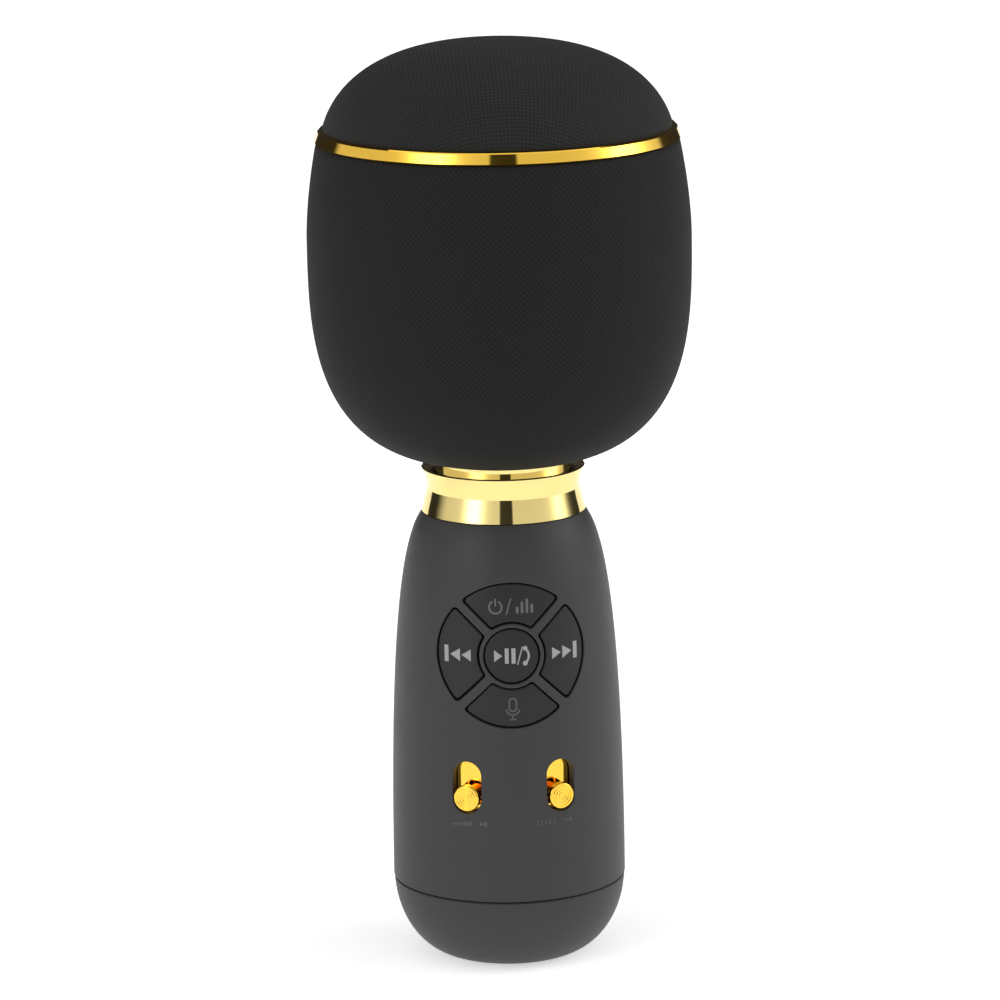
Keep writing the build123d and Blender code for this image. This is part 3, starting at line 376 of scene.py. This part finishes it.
def superCurve(radius, reach, level, roundR, roundZ, angles):
    # one quarter of a rounded outline, from its widest level to the axis
    across = np.clip(np.cos(angles), 0, 1) ** (2 / roundR)
    up = np.clip(np.sin(angles), 0, 1) ** (2 / roundZ)
    return np.stack([radius * across, level + reach * up], 1)


def evenly(points, count):
    # the same line as count points at equal steps of length
    gaps = np.linalg.norm(np.diff(points, axis=0), axis=1)
    reached = np.concatenate([[0], np.cumsum(gaps)])
    wanted = np.linspace(0, reached[-1], count)
    return np.stack([np.interp(wanted, reached, points[:, axis]) for axis in (0, 1)], 1), reached[-1]


def outward(line):
    # unit normals of a (radius, height) line that runs upwards
    along = np.gradient(line, axis=0)
    across = np.stack([along[:, 1], -along[:, 0]], 1)
    return across / np.linalg.norm(across, axis=1)[:, None]


housing = "housing"

# the head's cloth
bodyCloth = {
    "lowerReach": 53.66, "lowerRound": 3.04, "upperReach": 90.66, "upperRound": 1.68, "ringAboveWidest": 22.7,
    "thickness": 0.8, "relief": 0.035, "tuck": 0.35, "tuckLength": 1.2, "columns": 420, "innerRows": 14,
}


def makeBodyCloth():
    low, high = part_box("body_fabric")
    radius = (high.x - low.x) / 2
    level = high.z - bodyCloth["ringAboveWidest"] * millimetre
    fine = np.linspace(0, math.pi / 2, 4000)
    lower = superCurve(radius, -bodyCloth["lowerReach"] * millimetre, level,
                       bodyCloth["lowerRound"], bodyCloth["lowerRound"], fine)
    upper = superCurve(radius, bodyCloth["upperReach"] * millimetre, level,
                       bodyCloth["upperRound"], bodyCloth["upperRound"], fine)
    lower = lower[lower[:, 1] >= low.z][::-1]
    upper = upper[upper[:, 1] <= high.z][1:]
    line = np.concatenate([lower, upper])
    columns = bodyCloth["columns"]
    step = 2 * math.pi * radius / columns
    outer, length = evenly(line, 2000)
    rows = int(round(length / step))
    outer, length = evenly(line, rows + 1)
    inner, _ = evenly(line, bodyCloth["innerRows"])
    thickness, tuck = bodyCloth["thickness"] * millimetre, bodyCloth["tuck"] * millimetre
    inner = inner - outward(inner) * thickness
    inner[:, 1] = inner[:, 1].clip(low.z, high.z)
    along = np.linspace(0, length, rows + 1)
    edge = np.minimum(along, length - along) / (bodyCloth["tuckLength"] * millimetre)
    sink = tuck * (1 - edge.clip(0, 1)) ** 2
    turnStep = 2 * math.pi / columns
    normals = outward(outer)
    points, counts = [], []
    for row in range(rows + 1):
        for column in range(columns):
            lift = bodyCloth["relief"] * millimetre * (0 if (row + column) % 2 == 0 else -1)
            offset = normals[row] * (lift - sink[row])
            radiusHere, height = outer[row] + offset
            angle = column * turnStep
            points.append((radiusHere * math.sin(angle), -radiusHere * math.cos(angle),
                           min(max(height, low.z), high.z)))
    for row in range(len(inner) - 1, -1, -1):
        for column in range(columns):
            angle = column * turnStep
            points.append((inner[row][0] * math.sin(angle), -inner[row][0] * math.cos(angle), inner[row][1]))
    total = rows + 1 + len(inner)
    faces, yarns = [], []
    for row in range(total):
        after = (row + 1) % total
        for column in range(columns):
            beside = (column + 1) % columns
            faces.append((row * columns + column, row * columns + beside,
                          after * columns + beside, after * columns + column))
            for c, r in ((column, row), (column + 1, row), (column + 1, row + 1), (column, row + 1)):
                yarns.append(((c + r) / 2, (c - r) / 2))
    piece = addPiece("bodyCloth", points, faces, finishes["body_cloth"], housing)
    layer = piece.data.uv_layers.new(name="yarns")
    layer.data.foreach_set("uv", np.array(yarns, np.float32).ravel())
    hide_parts("body_fabric")


makeBodyCloth()

# the dome's cloth
domeCloth = {
    "reach": 27.73, "roundR": 2.49, "roundZ": 2.28, "thickness": 0.8, "relief": 0.035, "tuck": 0.35,
    "tuckLength": 1.2, "rimPoints": 360, "innerRings": 12,
}


def makeDomeCloth():
    low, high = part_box("dome_fabric")
    rim, reach = (high.x - low.x) / 2, domeCloth["reach"] * millimetre
    level = high.z - reach
    share = (low.z - level) / reach
    radius = rim / (1 - share ** domeCloth["roundZ"]) ** (1 / domeCloth["roundR"])
    fine = np.linspace(math.pi / 2, 0, 6000)
    line = superCurve(radius, reach, level, domeCloth["roundR"], domeCloth["roundZ"], fine)
    line = line[line[:, 1] >= low.z]
    gaps = np.linalg.norm(np.diff(line, axis=0), axis=1)
    reached = np.concatenate([[0], np.cumsum(gaps)])
    length = reached[-1]
    downNormals = -outward(line)
    pitch = weave["pitch"] * millimetre
    half = pitch / 2
    points2d, marks = [], []
    steps = int(length / half) + 1
    margin = 0.6 * half
    for i in range(-steps, steps + 1):
        for j in range(-steps, steps + 1):
            if math.hypot(i, j) * half < length - margin:
                points2d.append(Vector((i * half, j * half)))
                marks.append((i + j) % 2)
    start = len(points2d)
    count = domeCloth["rimPoints"]
    for spoke in range(count):
        angle = 2 * math.pi * spoke / count
        points2d.append(Vector((length * math.sin(angle), -length * math.cos(angle))))
        marks.append(0)
    loop = list(range(start, start + count))
    flat, _, cells, origins, _, _ = delaunay_2d_cdt(points2d, [], [loop], 1, 1e-9)

    def placed(spot, depth):
        away = min(spot.length, length)
        r = np.interp(away, reached, line[:, 0])
        z = np.interp(away, reached, line[:, 1])
        normal = np.array([np.interp(away, reached, downNormals[:, axis]) for axis in (0, 1)])
        r, z = r - normal[0] * depth, z - normal[1] * depth
        direction = spot.normalized() if spot.length > 1e-9 else Vector((0, 0))
        return (direction.x * max(r, 0), direction.y * max(r, 0), min(max(z, low.z), high.z))

    tuckLength = domeCloth["tuckLength"] * millimetre
    outerPoints = []
    for spot, source in zip(flat, origins):
        pit = marks[source[0]] if source else 0
        edge = min(1, (length - min(spot.length, length)) / tuckLength)
        depth = domeCloth["relief"] * millimetre * pit + domeCloth["tuck"] * millimetre * (1 - edge) ** 2
        outerPoints.append(placed(spot, depth))
    faces = []
    for cell in cells:
        a, b, c = [Vector(flat[index]) for index in cell[:3]]
        order = cell if (b - a).cross(c - a) > 0 else cell[::-1]
        faces.append(tuple(order))
    yarns = [(flat[index].x / pitch, flat[index].y / pitch) for face in faces for index in face]
    # the edge of the outer skin, in order
    used = {}
    for face in faces:
        for a, b in zip(face, face[1:] + face[:1]):
            used[(a, b)] = True
    following = {a: b for a, b in used if (b, a) not in used}
    first = next(iter(following))
    rimLoop = [first]
    while following[rimLoop[-1]] != first:
        rimLoop.append(following[rimLoop[-1]])
    # the inner skin: rings of the same spokes as the rim, closed by one middle point
    points = list(outerPoints)
    thickness = domeCloth["thickness"] * millimetre
    rings = domeCloth["innerRings"]
    previous = rimLoop
    for ringIndex in range(rings):
        away = 1 - ringIndex / rings
        current = []
        for index in rimLoop:
            current.append(len(points))
            points.append(placed(flat[index] * away, thickness))
        for a in range(len(rimLoop)):
            b = (a + 1) % len(rimLoop)
            faces.append((previous[b], previous[a], current[a], current[b]))
            yarns += [(0, 0)] * 4
        previous = current
    middle = len(points)
    points.append(placed(Vector((0, 0)), thickness))
    for a in range(len(rimLoop)):
        b = (a + 1) % len(rimLoop)
        faces.append((previous[b], previous[a], middle))
        yarns += [(0, 0)] * 3
    piece = addPiece("domeCloth", points, faces, finishes["dome_cloth"], housing)
    layer = piece.data.uv_layers.new(name="yarns")
    layer.data.foreach_set("uv", np.array(yarns, np.float32).ravel())
    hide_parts("dome_fabric")
    print("dome cloth:", len(faces), "faces, cut", round(2 * length, 4), "across")


makeDomeCloth()

# the printed symbols
prints = {"proud": 0.03, "sunk": 0.03, "grid": 0.45, "wear": 0.35}


def bar(x0, z0, x1, z1):
    return [(x0, z0), (x1, z0), (x1, z1), (x0, z1)]


def slash(x, z, tall, lean, thick):
    return [(x - lean / 2 - thick / 2, z - tall / 2), (x - lean / 2 + thick / 2, z - tall / 2),
            (x + lean / 2 + thick / 2, z + tall / 2), (x + lean / 2 - thick / 2, z + tall / 2)]


def arrow(x, z, wide, tall):
    # a triangle that points right when wide is positive, and left when it is negative
    corners = [(x - wide / 2, z - tall / 2), (x + wide / 2, z), (x - wide / 2, z + tall / 2)]
    return corners if wide > 0 else corners[::-1]


def hoop(x, z, radius, thick, begin, end, steps=28):
    # an arc of a ring, from one angle to another in degrees
    angles = [math.radians(begin + (end - begin) * step / steps) for step in range(steps + 1)]
    wide, narrow = radius + thick / 2, radius - thick / 2
    outer = [(x + wide * math.cos(angle), z + wide * math.sin(angle)) for angle in angles]
    inner = [(x + narrow * math.cos(angle), z + narrow * math.sin(angle)) for angle in angles]
    return outer + inner[::-1]


def pill(x, z, wide, tall, steps=12):
    radius, straight = wide / 2, tall / 2 - wide / 2
    angles = [math.pi * step / steps for step in range(steps + 1)]
    top = [(x + radius * math.cos(angle), z + straight + radius * math.sin(angle)) for angle in angles]
    bottom = [(x - radius * math.cos(angle), z - straight - radius * math.sin(angle)) for angle in angles]
    return top + bottom


def finishPrint(name, level):
    material = bpy.data.materials.new(name)
    board = Board(material)
    worn = board.speckle(prints["wear"], 3.0, 0.6)
    base = board.blend(worn, shade(level * 0.75, -0.02), shade(level * 1.15, -0.02))
    shader = board.node("BsdfPrincipled", None, {"Base Color": base, "Roughness": worn * 0.2 + 0.4})
    board.node("OutputMaterial", None, {"Surface": shader})
    return material


def printOn(name, shapes, onto, body, finish):
    # lay flat outlines, in millimetres in the front view, on the surface of a CAD node
    source = nodes[onto].data
    source.calc_loop_triangles()
    tree = BVHTree.FromPolygons([v.co for v in source.vertices],
                                [tuple(t.vertices) for t in source.loop_triangles])
    points, faces = [], []
    for shape in shapes:
        outline = [Vector(corner) for corner in shape]
        xs, zs = [p.x for p in outline], [p.y for p in outline]
        grid = prints["grid"]
        spots = []
        for index, corner in enumerate(outline):
            after = outline[(index + 1) % len(outline)]
            parts = max(1, int((after - corner).length / grid))
            for part in range(parts):
                spots.append(corner + (after - corner) * part / parts)
        loop = list(range(len(spots)))
        for i in range(int((max(xs) - min(xs)) / grid) + 1):
            for j in range(int((max(zs) - min(zs)) / grid) + 1):
                spots.append(Vector((min(xs) + (i + 0.5) * grid, min(zs) + (j + 0.5) * grid)))
        flat, _, cells, _, _, _ = delaunay_2d_cdt(spots, [], [loop], 1, 1e-6)
        keep = sorted({index for cell in cells for index in cell})
        renumber = {index: place for place, index in enumerate(keep)}
        base = len(points)
        for sign, depth in ((-1, prints["proud"]), (1, prints["sunk"])):
            for index in keep:
                spot = flat[index] * millimetre
                hit = tree.ray_cast(Vector((spot.x, -1, spot.y)), Vector((0, 1, 0)))[0]
                if hit is None:
                    raise RuntimeError("a symbol misses its key: " + name)
                points.append((hit.x, hit.y + sign * depth * millimetre, hit.z))
        count = len(keep)
        used = set()
        for cell in cells:
            tri = [renumber[index] for index in cell]
            a, b, c = [flat[index] for index in cell[:3]]
            if (b - a).cross(c - a) < 0:
                tri = tri[::-1]
            faces.append(tuple(base + index for index in tri))
            faces.append(tuple(base + count + index for index in reversed(tri)))
            for one, two in zip(tri, tri[1:] + tri[:1]):
                used.add((one, two))
        for one, two in used:
            if (two, one) not in used:
                faces.append((base + two, base + one, base + count + one, base + count + two))
    piece = addPiece(name, points, faces, finish, body, smooth=False)
    return piece


symbols = {
    "topReach": 11.6, "lowReach": 12.2, "sideReach": 12.5, "tall": 3.7, "bright": 0.31, "dim": 0.105,
    "faint": 0.07, "markDrop": 3.55,
}


def makeSymbols():
    low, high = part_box("key_play_call")
    cx, cz = (low.x + high.x) / 2 / millimetre, (low.z + high.z) / 2 / millimetre
    bright = finishPrint("printBright", symbols["bright"])
    dim = finishPrint("printDim", symbols["dim"])
    faint = finishPrint("printFaint", symbols["faint"])
    centre = [
        arrow(cx - 3.2, cz + 0.05, 1.9, 2.8), bar(cx - 1.65, cz - 1.75, cx - 0.75, cz + 1.85),
        bar(cx - 0.1, cz - 1.75, cx + 0.85, cz + 1.85), slash(cx + 1.9, cz + 0.05, 4.2, 1.2, 0.28),
    ] + handset(cx + 3.35, cz)
    printOn("symbolPlayCall", centre, "key_play_call", "button_play_call", bright)
    x, z = cx - symbols["sideReach"], cz + 0.05
    left = [bar(x - 2.95, z - 1.95, x - 2.05, z + 1.95), arrow(x - 0.55, z - 0.05, -2.2, 3.0),
            arrow(x + 1.95, z - 0.05, -2.1, 2.8)]
    printOn("symbolPrevious", left, "key_previous", "button_previous", bright)
    x = cx + symbols["sideReach"]
    right = [bar(x + 2.05, z - 1.95, x + 2.95, z + 1.95), arrow(x + 0.55, z - 0.05, 2.2, 3.0),
             arrow(x - 1.95, z - 0.05, 2.1, 2.8)]
    printOn("symbolNext", right, "key_next", "button_next", bright)
    x, z, tall = cx, cz + symbols["topReach"], symbols["tall"]
    top = [hoop(x - 3.6, z - 0.15, 1.45, 0.42, 118, 422), bar(x - 3.8, z + 0.1, x - 3.4, z + tall / 2),
           slash(x - 0.55, z, tall, 1.1, 0.32)]
    for place, share in enumerate((0.45, 0.8, 1.0, 0.6)):
        left = x + 1.15 + place * 1.15
        top.append(bar(left, z - tall / 2 + 0.2, left + 0.62, z - tall / 2 + 0.2 + (tall - 0.4) * share))
    printOn("symbolPower", top, "key_power_mode", "button_power_mode", dim)
    z = cz - symbols["lowReach"] - 0.2
    mic = [
        hoop(x, z + 1.55, 0.85, 0.4, 0, 180), bar(x - 1.05, z + 0.2, x - 0.65, z + 1.55),
        bar(x + 0.65, z + 0.2, x + 1.05, z + 1.55), hoop(x, z + 0.2, 0.85, 0.4, 180, 360),
        hoop(x, z + 0.1, 1.6, 0.36, 190, 350), bar(x - 0.19, z - 2.3, x + 0.19, z - 1.66),
        bar(x - 0.8, z - 2.75, x + 0.8, z - 2.42),
    ]
    printOn("symbolVoice", mic, "key_voice", "button_voice", faint)
    # marks under the two slots: a rising wedge for volume, a row of arcs for echo
    for side, marks in (("left", wedgeMarks), ("right", echoMarks)):
        low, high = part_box(f"slider_knob_{side}")
        middle = (low.x + high.x) / 2 / millimetre
        level = low.z / millimetre + symbols["markDrop"]
        shapes = marks(middle - 0.5, level)
        printOn(f"mark{side.capitalize()}", shapes, "handle_shell", housing, faint)


def wedgeMarks(x, z):
    rising = [bar(x - 4.3 + 0.68 * n, z - 0.7, x - 3.9 + 0.68 * n, z - 0.35 + 0.15 * n) for n in range(7)]
    horn = [bar(x + 2.0, z - 0.35, x + 2.6, z + 0.35), arrow(x + 3.15, z, -1.1, 1.5)]
    return rising + horn


def echoMarks(x, z):
    waves = [hoop(x - 4.6 + 1.0 * n, z, 0.8, 0.2, -52, 52, 10) for n in range(5)]
    return waves + [bar(x + 2.4 + 0.75 * n, z - 0.2 - 0.15 * n, x + 2.75 + 0.75 * n, z + 0.2 + 0.15 * n)
                    for n in range(3)]


def handset(x, z):
    # a telephone handset standing on end: a curved grip between two rounded pads
    grip = hoop(x - 1.55, z, 2.15, 0.5, -44, 44)
    return [grip, pill(x - 0.2, z + 1.75, 1.05, 1.1), pill(x - 0.25, z - 1.75, 1.15, 1.15)]


makeSymbols()
print("symbols printed")
